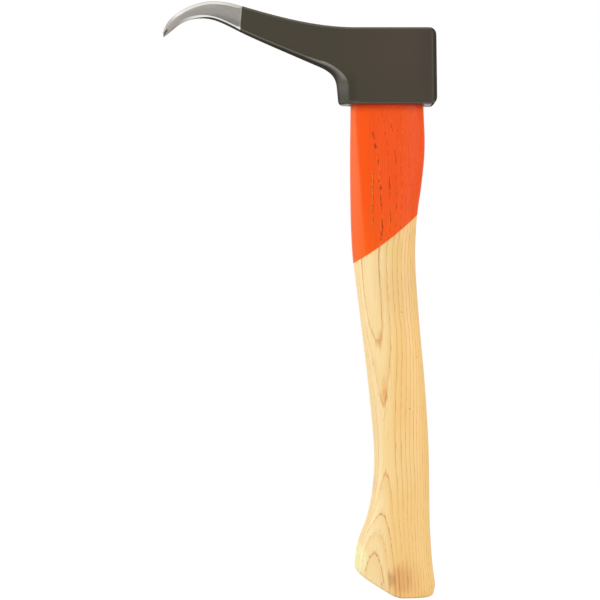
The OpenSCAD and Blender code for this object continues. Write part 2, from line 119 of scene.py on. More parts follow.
def ramp(tree, value, low, high, out_low=0.0, out_high=1.0, kind="SMOOTHSTEP"):
    """Rescales a value from low..high to out_low..out_high, clamped at both ends."""
    return add(tree, "ShaderNodeMapRange",
               {0: value, 1: low, 2: high, 3: out_low, 4: out_high},
               interpolation_type=kind, clamp=True).outputs[0]


def product(tree, first, *rest):
    """Socket with the product of two or more values."""
    for value in rest:
        first = calc(tree, "MULTIPLY", first, value)
    return first


print("node helpers:", [f.__name__ for f in (add, calc, ramp, product)])

# %% [markdown]
# Colours are written as on the web, because that is how a paint chart or a photo viewer names
# them. The shader works in linear light, so each one is converted. A blend lays one colour over
# another by a share: the way to build a finish up in layers, as a painter does.

# %% Colours
def colour(text):
    """Linear colour of a web colour such as f65a28."""
    parts = [int(text[k:k + 2], 16) / 255 for k in (0, 2, 4)]
    return tuple(p / 12.92 if p <= 0.04045 else ((p + 0.055) / 1.055) ** 2.4
                 for p in parts) + (1.0,)


def blend(tree, share, first, second, mode="MIX"):
    """Colour between two colours. Sockets 6, 7 and 2 are the node's colour sockets."""
    return add(tree, "ShaderNodeMix", {"Factor": share, 6: first, 7: second},
               data_type="RGBA", blend_type=mode).outputs[2]


print("mid grey 808080 is", round(colour("808080")[0], 3), "in linear light")

# %% [markdown]
# Every pattern on this tool is laid out in millimetres from the middle of the eye, where the
# handle's axis meets the underside of the head. Object coordinates are exactly that, because no
# piece is moved or turned. Stretching them along the grain turns round blobs of noise into the
# long streaks of wood fibre and of grinding.

# %% Places and noise
MM = 0.001


def scaled(tree, place, x, y, z):
    """The place with each axis multiplied, which stretches the texture that reads it."""
    return add(tree, "ShaderNodeVectorMath", {0: place, 1: (x, y, z)},
               operation="MULTIPLY").outputs[0]


def place_in_mm(tree):
    """Object coordinates in millimetres, which are the frame's own coordinates."""
    place = add(tree, "ShaderNodeTexCoord").outputs["Object"]
    return scaled(tree, place, 1 / MM, 1 / MM, 1 / MM)


def split(tree, vector):
    """Sockets X, Y and Z of a vector."""
    return add(tree, "ShaderNodeSeparateXYZ", {0: vector}).outputs


def joined(tree, x, y, z):
    return add(tree, "ShaderNodeCombineXYZ", {0: x, 1: y, 2: z}).outputs[0]


def noise(tree, place, scale, detail=2.0, rough=0.5):
    return add(tree, "ShaderNodeTexNoise",
               {"Vector": place, "Scale": scale, "Detail": detail, "Roughness": rough}).outputs[0]


def centred(tree, value, width):
    """Noise about zero, with its whole width given."""
    return product(tree, calc(tree, "SUBTRACT", value, 0.5), width)


print("one unit of a pattern is", MM, "m")

# %% [markdown]
# Some things on the tool follow a measured line: the path of the tree's pith through the handle,
# or the middle of the curved pick. A Float Curve node holds such a line. Its own axes go from 0
# to 1, so the value is brought to that range before it and back to millimetres after it.

# %% Curves through measured rows
def curve(tree, value, rows, span=None):
    """Smooth curve through rows of (value, result). The span is the range of the results."""
    low, high = rows[0][0], rows[-1][0]
    least, most = span or (min(r for v, r in rows), max(r for v, r in rows))
    made = add(tree, "ShaderNodeFloatCurve", {1: ramp(tree, value, low, high, kind="LINEAR")})
    line = made.mapping.curves[0]
    points = [((v - low) / (high - low), (r - least) / (most - least)) for v, r in rows]
    line.points[0].location = points[0]
    line.points[1].location = points[-1]
    for point in points[1:-1]:
        line.points.new(*point)
    made.mapping.update()
    return ramp(tree, made.outputs[0], 0, 1, least, most, kind="LINEAR")


print("curve helper ready")

# %% [markdown]
# An effect that several finishes share becomes a shader group: it is built once, with named
# inputs and outputs, and placed in each material with its own values. The shader itself stays in
# the material.

# %% Groups and materials
FLOAT = "NodeSocketFloat"
VECTOR = "NodeSocketVector"
COLOUR = "NodeSocketColor"


def new_group(name, inputs, outputs):
    """Empty shader group with (name, socket type, default) inputs and (name, type) outputs."""
    tree = bpy.data.node_groups.new(name, "ShaderNodeTree")
    for label, kind, default in inputs:
        made = tree.interface.new_socket(label, in_out="INPUT", socket_type=kind)
        if default is not None:
            made.default_value = default
    for label, kind in outputs:
        tree.interface.new_socket(label, in_out="OUTPUT", socket_type=kind)
    return tree, tree.nodes.new("NodeGroupInput").outputs


def give_out(tree, **results):
    """Links each result to the group's output of that name."""
    out = tree.nodes.new("NodeGroupOutput")
    for label, socket in results.items():
        tree.links.new(socket, out.inputs[label])
    print("group", tree.name, "has", len(tree.nodes), "nodes and gives", ", ".join(results))


def use_group(tree, group, **inputs):
    """Outputs of a group that is placed in a tree."""
    return add(tree, "ShaderNodeGroup", inputs, node_tree=group).outputs


def new_material(name):
    material = bpy.data.materials.new(name)
    material.use_nodes = True
    tree = material.node_tree
    tree.nodes.clear()
    shader = tree.nodes.new("ShaderNodeBsdfPrincipled")
    output = tree.nodes.new("ShaderNodeOutputMaterial")
    tree.links.new(shader.outputs[0], output.inputs[0])
    return material, tree, shader


def finish_shader(material, tree, shader, linked, plain):
    """Links the sockets that vary over the surface, and sets those that are the same all over."""
    for label, socket in linked.items():
        tree.links.new(socket, shader.inputs[label])
    for label, value in plain.items():
        shader.inputs[label].default_value = value
    print("material", material.name, "has", len(tree.nodes), "nodes")
    return material


print("groups and materials ready")

# %% [markdown]
# The handle is ash. Its rings are tubes round a pith that lay outside this billet, in front of
# the side that faces the camera. Where the handle bulges, its side cuts across the rings, and
# their outlines close into points and arches. So the figure isn't painted on: it follows from
# how far each place is from the pith, on all sides and on the end grain alike. The pith leans
# and bends, and the rows give its path from the knob up to the eye.

# %% Path of the pith
FACE_Y = -12.0
# Height in mm, distance of the pith in front of the handle's near side, and its place along X
PITH = [(-320, 28.4, -14.6), (-300, 29.5, -14.9), (-285, 30.4, -15.2), (-272, 31.2, -15.0),
        (-260, 32.1, -14.5), (-250, 32.5, -13.7), (-239, 32.7, -13.4), (-225, 32.8, -13.7),
        (-210, 33.0, -13.4), (-186, 33.4, -12.1), (-168, 33.1, -11.8), (-151, 32.3, -12.7),
        (-130, 31.3, -15.6), (-105, 31.4, -16.4), (-60, 32.4, -11.8), (0, 32.7, -16.7),
        (60, 35.8, -31.4)]
PITH_DEPTH_SPAN = (26.0, 38.0)
PITH_X_SPAN = (-36.0, 0.0)


def pith_distance(tree, place):
    xyz = split(tree, place)
    depth = curve(tree, xyz["Z"], [(h, d) for h, d, x in PITH], PITH_DEPTH_SPAN)
    pith_x = curve(tree, xyz["Z"], [(h, x) for h, d, x in PITH], PITH_X_SPAN)
    across = calc(tree, "SUBTRACT", xyz["X"], pith_x)
    away = calc(tree, "SUBTRACT", calc(tree, "ADD", xyz["Y"], depth), FACE_Y)
    squares = calc(tree, "ADD", product(tree, across, across), product(tree, away, away))
    return calc(tree, "SQRT", squares)


print("pith measured at", len(PITH), "heights")

# %% [markdown]
# A tree doesn't grow in perfect circles. Two noises stretched along the grain move the rings a
# little: a slow drift and a fine shiver. They are in millimetres, so they stay true in size.

# %% Wobble of the rings
DRIFT_MM = 1.0
SHIVER_MM = 0.5
# Repeats in each mm across the grain, and the factor that stretches them along it
DRIFT_OFTEN = 0.08
DRIFT_STRETCH = 0.2
SHIVER_OFTEN = 0.6
SHIVER_STRETCH = 0.15


def wobble(tree, place, share):
    drift = noise(tree, scaled(tree, place, 1.0, 1.0, DRIFT_STRETCH), DRIFT_OFTEN, 2.0)
    shiver = noise(tree, scaled(tree, place, 1.0, 1.0, SHIVER_STRETCH), SHIVER_OFTEN, 1.0)
    moved = calc(tree, "ADD", centred(tree, drift, DRIFT_MM), centred(tree, shiver, SHIVER_MM))
    return product(tree, moved, share)


print("rings move by up to", (DRIFT_MM + SHIVER_MM) / 2, "mm at full wobble")

# %% [markdown]
# Within a ring, the spring wood comes first: a narrow line of big open pores, which reads as a
# honey coloured line. Then the dense summer wood darkens slowly towards the next ring. Each year
# was a little different, so white noise on the ring's number varies the width and strength of
# its line.

# %% Ring lines and summer wood
RING_GAP = 1.8
# Shares of a ring where its line is full and starts to fade, where the narrowest and the widest
# line end, and where summer wood begins
LINE_FULL = 0.03
LINE_FADES = 0.04
LINE_ENDS = (0.12, 0.22)
SUMMER_FROM = 0.45
# Strength in the faintest and in the strongest year
LINE_STRENGTH = (0.55, 1.0)
SUMMER_STRENGTH = (0.5, 1.0)


def ring_marks(tree, radius):
    """Sockets: share through the ring, its number, its start, the line and the summer wood."""
    rings = calc(tree, "DIVIDE", radius, RING_GAP)
    phase = calc(tree, "FRACT", rings)
    number = calc(tree, "FLOOR", rings)
    chance = add(tree, "ShaderNodeTexWhiteNoise", {"W": number}, noise_dimensions="1D").outputs[0]
    start = ramp(tree, phase, 0.0, LINE_FULL)
    line_end = ramp(tree, chance, 0, 1, *LINE_ENDS, kind="LINEAR")
    fading = calc(tree, "SUBTRACT", 1.0, ramp(tree, phase, LINE_FADES, line_end))
    line = product(tree, start, fading, ramp(tree, chance, 0, 1, *LINE_STRENGTH, kind="LINEAR"))
    summer = product(tree, ramp(tree, phase, SUMMER_FROM, 1.0),
                     ramp(tree, chance, 0, 1, *SUMMER_STRENGTH))
    return phase, number, start, line, summer


print("rings are", RING_GAP, "mm apart")

# %% [markdown]
# The pores are the cut ends and sides of long tubes. Voronoi cells stretched along the grain
# give short dashes of that kind, and they are kept only in the first part of each ring. A fine
# stretched noise stands for the fibres between them. Pores and fibres are the last parts of the
# group. Both the bare wood and the paint over it use it, because the pores show through paint.

# %% Ash figure
# Pores in each mm across the grain and along it, and the same for the fibres
PORES_EACH_MM = (2.2, 2.2, 0.11)
FIBRES_EACH_MM = (1.7, 1.7, 0.03)
# Radius of a pore's core and rim, in cells, and the shares of a ring between which pores end
PORE_RADIUS = (0.2, 0.42)
PORES_FADE = (0.1, 0.4)


def pore_dashes(tree, place, phase, start):
    cells = add(tree, "ShaderNodeTexVoronoi",
                {"Vector": scaled(tree, place, *PORES_EACH_MM), "Scale": 1.0,
                 "Randomness": 1.0}, feature="F1").outputs["Distance"]
    dots = calc(tree, "SUBTRACT", 1.0, ramp(tree, cells, *PORE_RADIUS))
    early = calc(tree, "SUBTRACT", start, ramp(tree, phase, *PORES_FADE))
    return product(tree, dots, early)


def make_ash_figure():
    tree, given = new_group(
        "ash figure",
        [("Place", VECTOR, None), ("Wobble", FLOAT, 0.5)],
        [("Line", FLOAT), ("Summer", FLOAT), ("Pores", FLOAT), ("Fibre", FLOAT), ("Ring", FLOAT)])
    place = given["Place"]
    moved = wobble(tree, place, given["Wobble"])
    radius = calc(tree, "ADD", pith_distance(tree, place), moved)
    phase, number, start, line, summer = ring_marks(tree, radius)
    pores = pore_dashes(tree, place, phase, start)
    fibre = noise(tree, scaled(tree, place, *FIBRES_EACH_MM), 1.0, 3.0, 0.6)
    give_out(tree, Line=line, Summer=summer, Pores=pores, Fibre=fibre, Ring=number)
    return tree


ash_figure = make_ash_figure()

# %% [markdown]
# Paint and powder coat are never quite flat. A second group gives the fine, soft waviness that
# painters call orange peel, as a height for a Bump node, and a broad mottle for the colour.

# %% Orange peel
MOTTLE_OFTEN = 0.05


def make_peel():
    tree, given = new_group(
        "orange peel",
        [("Place", VECTOR, None), ("Size", FLOAT, 1.0)],
        [("Height", FLOAT), ("Mottle", FLOAT)])
    fine = noise(tree, given["Place"], calc(tree, "DIVIDE", 1.0, given["Size"]), 2.0)
    broad = noise(tree, given["Place"], MOTTLE_OFTEN, 3.0)
    give_out(tree, Height=fine, Mottle=broad)
    return tree


peel = make_peel()

# %% [markdown]
# Some marks belong to this one handle: warm wood inside the tips of the figure, a reddish heel,
# a few pin knots and a grey smudge low on the knob. One more is a painted highlight: a pale spot
# on the toe. Each is a soft oval with its own colour and share, on the side that faces the
# camera. A painted mask would do it too, but a short list of ovals is easier to read and to
# change.

# %% Patches and pin knots
# X and Z of the middle, half width and half height in mm, share, colour
PATCHES = [(-1.9, -184.5, 2.6, 6.0, 0.6, "eaa04e"), (-2.2, -179.0, 2.0, 10.0, 0.35, "eaa04e"),
           (-9.0, -241.0, 3.0, 6.0, 0.35, "f0b670"), (8.5, -301.5, 9.0, 11.0, 0.4, "d9925a"),
           # the oval at X -19 and Z -287.5, the pale toe, is a painted highlight
           (12.0, -300.0, 13.0, 15.0, 0.25, "e3a05c"), (-19.0, -287.5, 7.5, 12.5, 1.0, "fff9b9"),
           (9.0, -105.0, 22.0, 42.0, 0.3, "e0b47c"), (-4.7, -149.0, 2.4, 8.0, 0.4, "e3a064"),
           (2.5, -93.0, 7.0, 5.0, 0.45, "ebcf74"), (9.0, -225.0, 12.0, 28.0, 0.35, "ffe0a4")]
# The same without a colour
KNOTS = [(9.0, -131.7, 0.45, 0.6, 0.7), (18.6, -160.4, 0.4, 0.45, 0.7),
         (14.1, -192.9, 0.5, 0.6, 0.8), (3.0, -301.0, 2.6, 4.2, 0.26),
         (1.2, -298.0, 1.6, 3.0, 0.2), (-3.9, -303.6, 0.7, 1.8, 0.3),
         (-4.4, -259.8, 0.9, 0.4, 0.65)]
KNOT_COLOUR = colour("7e5222")
# Where the ring lines are stained red at the heel
HEEL = (8.0, -302.0, 11.0, 12.5, 0.6)
# An oval grows from its rim inwards, on the near side only
OVAL_RIM = (1.0, 0.1)
NEAR_SIDE_Y = (2.0, -2.0)


def oval(tree, xyz, x, z, half_x, half_z, share):
    """How much of an oval mark a place has, from 0 outside it to its share in the middle."""
    across = calc(tree, "DIVIDE", calc(tree, "SUBTRACT", xyz["X"], x), half_x)
    up = calc(tree, "DIVIDE", calc(tree, "SUBTRACT", xyz["Z"], z), half_z)
    apart = calc(tree, "ADD", product(tree, across, across), product(tree, up, up))
    near_side = ramp(tree, xyz["Y"], *NEAR_SIDE_Y)
    return product(tree, ramp(tree, apart, *OVAL_RIM), near_side, share)


print(len(PATCHES), "patches and", len(KNOTS), "knots and smudges")

# %% [markdown]
# Bare ash is pale straw. Streaks of fibre and summer wood tint it a little. The ring lines and
# pores are laid on by multiplying, so that they deepen the wood's own colour and never grey it.
# On the knob they are fainter and broken, because the cut there runs nearly along the rings.

# %% Colour of the ash
# Painted light makes the wood palest before the first X, on the front side, and it is yellowest
# after the second, in clouds of this size
YELLOWING_X = (-12.0, 14.0)
CLOUDS_EACH_MM = (0.09, 0.09, 0.02)
# Parts of the fibre noise that streak the wood, and that make the patches uneven
STREAKS = (0.42, 0.72)
UNEVEN_FIBRES = (0.3, 0.65)
# Below the throat, a noise breaks the ring lines
KNOB_Z = (-265.0, -245.0)
BREAK_OFTEN = 0.4
BREAKS = (0.4, 0.56)
# An oval where the arches are soft
SOFT_ARCHES = (-9.0, -140.0, 9.0, 55.0, 0.5)


def ash_colour(tree, xyz, place, figure):
    clouds = noise(tree, scaled(tree, place, *CLOUDS_EACH_MM), 1.0, 3.0)
    # painted light: the wood is paler towards the front
    yellow = calc(tree, "ADD", ramp(tree, xyz["X"], *YELLOWING_X),
                  calc(tree, "SUBTRACT", clouds, 0.5))
    wood = blend(tree, ramp(tree, yellow, 0.0, 1.0), colour("ffe4a9"), colour("fdd285"))
    streak = ramp(tree, figure["Fibre"], *STREAKS, 0.0, 0.3)
    wood = blend(tree, streak, wood, colour("eebf76"))
    wood = blend(tree, product(tree, figure["Summer"], 0.3), wood, colour("efb566"))
    uneven = ramp(tree, figure["Fibre"], *UNEVEN_FIBRES, 0.5, 1.0)
    for *shape, shade in PATCHES:
        near = product(tree, oval(tree, xyz, *shape), uneven)
        wood = blend(tree, near, wood, colour(shade))
    broken = ramp(tree, noise(tree, place, BREAK_OFTEN, 2.0), *BREAKS, 0.25, 0.8)
    unbroken = ramp(tree, xyz["Z"], *KNOB_Z)
    soft = calc(tree, "SUBTRACT", 1.0, oval(tree, xyz, *SOFT_ARCHES))
    line = product(tree, figure["Line"], calc(tree, "MAXIMUM", unbroken, broken), soft)
    wood = blend(tree, line, wood, colour("d9a04a"), mode="MULTIPLY")
    stripes = calc(tree, "MAXIMUM", figure["Summer"], figure["Line"])
    wood = blend(tree, product(tree, oval(tree, xyz, *HEEL), stripes), wood, colour("c06f3c"))
    pores = product(tree, figure["Pores"], 0.5)
    wood = blend(tree, pores, wood, colour("cc8a3c"), mode="MULTIPLY")
    for row in KNOTS:
        wood = blend(tree, oval(tree, xyz, *row), wood, KNOT_COLOUR)
    return wood


print("ash colour ready")

# %% [markdown]
# The handle is sealed with a clear lacquer, a thin coat over the wood. It fills the pores only
# in part, so the fibres and pores still give a faint relief under a soft gloss.

# %% Lacquered ash
def make_lacquered_ash():
    material, tree, shader = new_material("lacquered_ash")
    place = place_in_mm(tree)
    figure = use_group(tree, ash_figure, Place=place)
    wood = ash_colour(tree, split(tree, place), place, figure)
    relief = calc(tree, "ADD", product(tree, figure["Fibre"], 0.3),
                  product(tree, figure["Pores"], -0.4))
    bump = add(tree, "ShaderNodeBump", {"Height": relief, "Strength": 0.25, "Distance": 0.0001})
    return finish_shader(material, tree, shader,
                         {"Base Color": wood, "Normal": bump.outputs[0]},
                         {"Roughness": 0.45, "Specular IOR Level": 0.3, "Coat Weight": 0.15,
                          "Coat Roughness": 0.25})


lacquered_ash = make_lacquered_ash()

# %% [markdown]
# The neck is dipped in orange paint. It is thin enough that the larger pores stay open in it,
# as short dark cracks along the same ring lines that the bare wood shows further down. They
# wander more than the rings do, because the wet film pulls sideways as it dries, so the place is
# bent before the figure reads it. Each ring line is open in some stretches and closed in others.

# %% Cracks in the orange dip
WANDER_MM = 1.9
WANDER_OFTEN = 0.7
WANDER_STRETCH = 0.3
# The noise along the rings, moved from each ring to the next
RING_SHIFT = 7.3
ALONG_STRETCH = 0.2
STRETCH_OFTEN = 1.25
# Strength of a line where the film is open, and parts of the noise with a crack or with a
# painted highlight speck
LINE_OPEN = (0.15, 0.5)
CRACKED = (0.5, 0.58)
GLINT_SPECKED = (0.44, 0.38)
GLINT_OFTEN = 1.1
# The lines are wide towards the front, so there they are narrowed and weakened. They are
# fainter towards the back.
NARROWED_X = (-2.0, -7.0)
WEAKENED_X = (-13.0, -5.0)
FAINT_X = (4.0, 16.0)


def wandering(tree, place, xyz):
    """The place with a sideways wander, and the wander itself."""
    sway = noise(tree, scaled(tree, place, 1.0, 1.0, WANDER_STRETCH), WANDER_OFTEN, 2.0)
    sway = centred(tree, sway, WANDER_MM)
    return joined(tree, calc(tree, "ADD", xyz["X"], sway), xyz["Y"], xyz["Z"]), sway


def open_pores(tree, xyz, bent, figure, grained):
    """Masks of the dark cracks and of the painted highlight specks beside them."""
    shifted = calc(tree, "ADD", product(tree, figure["Ring"], RING_SHIFT), xyz["X"])
    along = joined(tree, shifted, xyz["Y"], product(tree, xyz["Z"], ALONG_STRETCH))
    stretch = noise(tree, along, STRETCH_OFTEN, 1.0)
    narrowing = ramp(tree, xyz["X"], *NARROWED_X, 0.0, 0.25)
    line = calc(tree, "SUBTRACT", figure["Line"], narrowing)
    on_ring = product(tree, ramp(tree, line, *LINE_OPEN), grained,
                      ramp(tree, xyz["X"], *FAINT_X, 1.0, 0.45),
                      ramp(tree, xyz["X"], *WEAKENED_X, 0.3, 1.0))
    crack = product(tree, on_ring, ramp(tree, stretch, *CRACKED))
    glint_speck = product(tree, on_ring, ramp(tree, stretch, *GLINT_SPECKED),
                    ramp(tree, noise(tree, bent, GLINT_OFTEN, 1.0), 0.5, 0.6))
    return crack, glint_speck


print("cracks wander by", WANDER_MM / 2, "mm to each side")

# %% [markdown]
# One check is longer than the rest: there the paint has pulled back in a thin broken line and
# shows the wood on one side of it. It is drawn round a line at one X, with the same wander as
# the cracks.

# %% Long check
CHECK_X = -9.2
# Half width at its rim and where it is full
CHECK_HALF = (0.55, 0.2)
CHECK_TOP = -41.0
CHECK_END = -78.0
# It fades in over these lengths, from its top and from its end
CHECK_FADES = (4.0, 3.0)
# The bare side of its middle line, and the parts of a noise where it is bare
BARE_SIDE = (0.15, -0.15)
BARE = (0.36, 0.5)


def long_check(tree, place, xyz, sway):
    """Mask and colour of the check."""
    from_line = calc(tree, "ADD", calc(tree, "SUBTRACT", xyz["X"], CHECK_X), sway)
    narrow = ramp(tree, calc(tree, "ABSOLUTE", from_line), *CHECK_HALF)
    mask = product(tree, narrow, ramp(tree, xyz["Y"], 1.0, -1.0),
                   ramp(tree, xyz["Z"], CHECK_TOP, CHECK_TOP - CHECK_FADES[0]),
                   ramp(tree, xyz["Z"], CHECK_END, CHECK_END + CHECK_FADES[1]))
    bare = product(tree, ramp(tree, from_line, *BARE_SIDE),
                   ramp(tree, noise(tree, place, 0.9, 1.0), *BARE))
    return mask, blend(tree, bare, colour("8a3a0c"), colour("f0a53c"))


print("check is", CHECK_TOP - CHECK_END, "mm long")

# %% [markdown]
# The paint is smooth down the front edge of the neck and grained elsewhere. It is a little
# lighter low down, has a painted highlight in a band along the very front, and is darkened close
# under the head by a painted shadow of the head. All of that varies its colour only, so the gloss
# stays that of one coat.

# %% Orange dip
# The painted highlight band down the front ends at this X at this height, and widens towards
# the grip
HIGHLIGHT_BAND_X = -18.8
HIGHLIGHT_BAND_Z = -28.0
HIGHLIGHT_BAND_SLANT = 0.071
HIGHLIGHT_BAND_SOFT = 1.2
# Spans over which the paint changes, across the neck and down it
PALER_X = (-16.0, -4.0)
GRAINED_X = (-14.0, -9.5)
LIGHTER_Z = (-50.0, -95.0)
HEAD_SHADOW_Z = (-6.0, 0.8)
CRACK_SHARE = 0.74
GLINT_SHARE = 0.5
CHECK_SHARE = 0.7


def orange_colour(tree, xyz, skin, figure, grained):
    paint = blend(tree, ramp(tree, xyz["X"], *PALER_X), colour("ff5914"), colour("fc5c20"))
    drop = product(tree, calc(tree, "SUBTRACT", xyz["Z"], HIGHLIGHT_BAND_Z), HIGHLIGHT_BAND_SLANT)
    from_front = calc(tree, "ADD", xyz["X"], drop)
    highlight_band = ramp(tree, from_front, HIGHLIGHT_BAND_X + HIGHLIGHT_BAND_SOFT, HIGHLIGHT_BAND_X - HIGHLIGHT_BAND_SOFT,
                0.0, 0.75)
    # painted highlight along the front edge of the neck
    paint = blend(tree, highlight_band, paint, colour("ff7b44"))
    paint = blend(tree, ramp(tree, xyz["Z"], *LIGHTER_Z, 0.0, 0.5), paint, colour("ff6c18"))
    paint = blend(tree, product(tree, skin["Mottle"], 0.2), paint, colour("f04a14"))
    grain = product(tree, ramp(tree, figure["Fibre"], 0.38, 0.62), grained, 0.3)
    return blend(tree, grain, paint, colour("e5481a"))


def make_orange_dip():
    material, tree, shader = new_material("orange_dip")
    place = place_in_mm(tree)
    xyz = split(tree, place)
    bent, sway = wandering(tree, place, xyz)
    figure = use_group(tree, ash_figure, Place=bent)
    skin = use_group(tree, peel, Place=place, Size=0.8)
    grained = ramp(tree, xyz["X"], *GRAINED_X)
    paint = orange_colour(tree, xyz, skin, figure, grained)
    crack, glint_speck = open_pores(tree, xyz, bent, figure, grained)
    paint = blend(tree, product(tree, crack, CRACK_SHARE), paint, colour("6a2204"))
    # painted highlights beside the cracks
    paint = blend(tree, product(tree, glint_speck, GLINT_SHARE), paint, colour("eda23c"))
    check, worn = long_check(tree, place, xyz, sway)
    paint = blend(tree, product(tree, check, CHECK_SHARE), paint, worn)
    # painted shadow of the head on the neck just under it
    paint = blend(tree, ramp(tree, xyz["Z"], *HEAD_SHADOW_Z, 0.0, 0.7), paint, colour("b82c0a"))
    relief = calc(tree, "ADD", product(tree, skin["Height"], 0.25), product(tree, crack, -1.0))
    fibres = product(tree, figure["Fibre"], ramp(tree, grained, 0, 1, 0.2, 0.9))
    relief = calc(tree, "ADD", relief, fibres)
    bump = add(tree, "ShaderNodeBump", {"Height": relief, "Strength": 0.45, "Distance": 0.0002})
    return finish_shader(material, tree, shader,
                         {"Base Color": paint, "Normal": bump.outputs[0]},
                         {"Roughness": 0.4, "Specular IOR Level": 0.1})


orange_dip = make_orange_dip()

# %% [markdown]
# The last third of the pick is bare steel, ground by hand. The grinder's streaks run along the
# curved bar, so they are laid out from its middle line: X along it, and the height above it. The
# cheeks are mid grey, with painted reflections that make them darker low down near the paint
# and lighter towards the top and the point.

# %% Ground cheeks of the pick
# Middle of the bare pick seen from the side, and half its thickness, both against X in mm
PICK_MIDDLE = [(-143, 44.9), (-137, 51.0), (-132, 54.8), (-125.5, 58.0), (-119, 59.6),
               (-113, 60.2), (-106.5, 59.5), (-100, 57.7), (-93.5, 55.5), (-87, 53.2)]
PICK_HALF = [(-143, 0.5), (-141.1, 1.0), (-137.9, 1.6), (-128.2, 3.4), (-115.5, 5.0),
             (-102.7, 6.2), (-96.3, 6.7), (-90, 7.2)]
STREAKS_ALONG = 0.12
STREAKS_OFTEN = 2.6
# Its painted darker and painted lighter third, by the height over the middle line and by X
LOW_THIRD = (-0.6, -4.2)
LOW_THIRD_X = (-126, -104)
TOP_THIRD = (0.4, 2.6)
TOP_THIRD_X = (-103, -112)
TIP_X = (-126, -137)


def grinding(tree, xyz):
    """Height above the pick's middle line, and the streaks along it."""
    above = calc(tree, "SUBTRACT", xyz["Z"], curve(tree, xyz["X"], PICK_MIDDLE))
    lengthwise = joined(tree, product(tree, xyz["X"], STREAKS_ALONG), xyz["Y"], above)
    return above, noise(tree, lengthwise, STREAKS_OFTEN, 4.0, 0.65)


def cheek_steel(tree, x, above, streaks):
    tone = ramp(tree, streaks, 0.3, 0.7, 0.28, 0.54)
    shaded_low_third = product(tree, ramp(tree, above, *LOW_THIRD), ramp(tree, x, *LOW_THIRD_X), 0.33)
    lit_top_third = product(tree, ramp(tree, above, *TOP_THIRD), ramp(tree, x, *TOP_THIRD_X), 0.16)
    tone = calc(tree, "ADD", calc(tree, "SUBTRACT", tone, shaded_low_third), lit_top_third)
    # painted reflection: the cheek lightens towards the point
    tone = calc(tree, "ADD", tone, ramp(tree, x, *TIP_X, 0.0, 0.12))
    return blend(tree, tone, colour("7d7975"), colour("b9b4ae"))


print("pick followed from X", PICK_MIDDLE[0][0], "to", PICK_MIDDLE[-1][0], "mm")

# %% [markdown]
# The upper bevels are painted bright, as painted reflections of the light above, with a greyer
# crest between them. The lower ones have a painted highlight only in a rim beside the cheek,
# since the grinder didn't reach under the hook, where the steel keeps its dark scale. How deep a
# place lies under the hook is measured from the cheek's plane, inwards. Bare metal mirrors the
# room, but scale doesn't, so it also gets a mask that makes it no metal: at a low angle a dark
# metal would still shine as white as the floor.

# %% Bevels of the pick
# Where the crest between the upper bevels starts and is full, in shares of half the thickness
CREST = (0.33, 0.43)
# Stretches of the pick, each from one colour to the next
UPPER_NEAR_PAINT_X = (-108, -94)
UPPER_NEAR_TIP_X = (-134, -142)
RIM_X = (-137, -116)
SCALE_X = (-129, -113)
SCALE_DULL_X = (-128, -118)
# Where the painted highlight rim narrows, and its width before and after, in mm
RIM_NARROWS_X = (-124, -109)
RIM_WIDTHS = (1.9, 0.8)


def bevel_steel(tree, x, y, below):
    """Colour of the upper and lower bevels, with their painted reflections, and the mask of the
    dark scale.
    """
    lit_upper = blend(tree, ramp(tree, x, *UPPER_NEAR_PAINT_X), colour("e4e1db"), colour("cdcac2"))
    lit_upper = blend(tree, ramp(tree, x, *UPPER_NEAR_TIP_X), lit_upper, colour("b4b0aa"))
    # painted highlight rim on the lower bevels
    rim = blend(tree, ramp(tree, x, *RIM_X), colour("9b958f"), colour("efece9"))
    scale = blend(tree, ramp(tree, x, *SCALE_X), colour("a39f99"), colour("52504c"))
    half = curve(tree, x, PICK_HALF)
    inwards = calc(tree, "SUBTRACT", half, calc(tree, "ABSOLUTE", y))
    crest = ramp(tree, calc(tree, "DIVIDE", inwards, half), *CREST)
    lit_upper = blend(tree, product(tree, crest, 0.6), lit_upper, colour("97938c"))
    rim_width = ramp(tree, x, *RIM_NARROWS_X, *RIM_WIDTHS)
    deep = ramp(tree, calc(tree, "SUBTRACT", inwards, rim_width), 0.0, 0.5)
    bevels = blend(tree, below, lit_upper, blend(tree, deep, rim, scale))
    return bevels, product(tree, deep, below, ramp(tree, x, *SCALE_DULL_X))


print("bevel helper ready")

# %% [markdown]
# Just behind the point, a small facet is painted dark, as painted shade.
# It is a slanted lozenge: its run goes along the bar, and its side lies square to that.

# %% Painted shade on a facet
FACET_X = -141.3
FACET_Z = 46.5
FACET_RUN = (0.63, 0.78)
# Half lengths in mm, to the facet's rim and to where it is fully dark
FACET_HALF_RUN = (2.6, 1.8)
FACET_HALF_SIDE = (0.85, 0.4)


def shaded_facet(tree, xyz):
    along = calc(tree, "SUBTRACT", xyz["X"], FACET_X)
    up = calc(tree, "SUBTRACT", xyz["Z"], FACET_Z)
    run = calc(tree, "ADD", product(tree, along, FACET_RUN[0]), product(tree, up, FACET_RUN[1]))
    side = calc(tree, "SUBTRACT", product(tree, along, FACET_RUN[1]),
                product(tree, up, FACET_RUN[0]))
    return product(tree, ramp(tree, calc(tree, "ABSOLUTE", run), *FACET_HALF_RUN),
                   ramp(tree, calc(tree, "ABSOLUTE", side), *FACET_HALF_SIDE))


print("facet is", 2 * FACET_HALF_RUN[0], "by", 2 * FACET_HALF_SIDE[0], "mm")

# %% [markdown]
# The parts of the ground end come together in a group. Which part a place belongs to follows
# from the way the surface faces: square to the side it is cheek, and otherwise a bevel, upper or
# lower by the upward part of its normal.

# %% Ground steel
# Sideways part of the normal from which a place counts as cheek, and where it fully is one
CHEEK_FROM = 0.86
CHEEK_TO = 0.95
# Upward part of a lower bevel's normal
LOWER_BEVEL = (-0.05, -0.3)


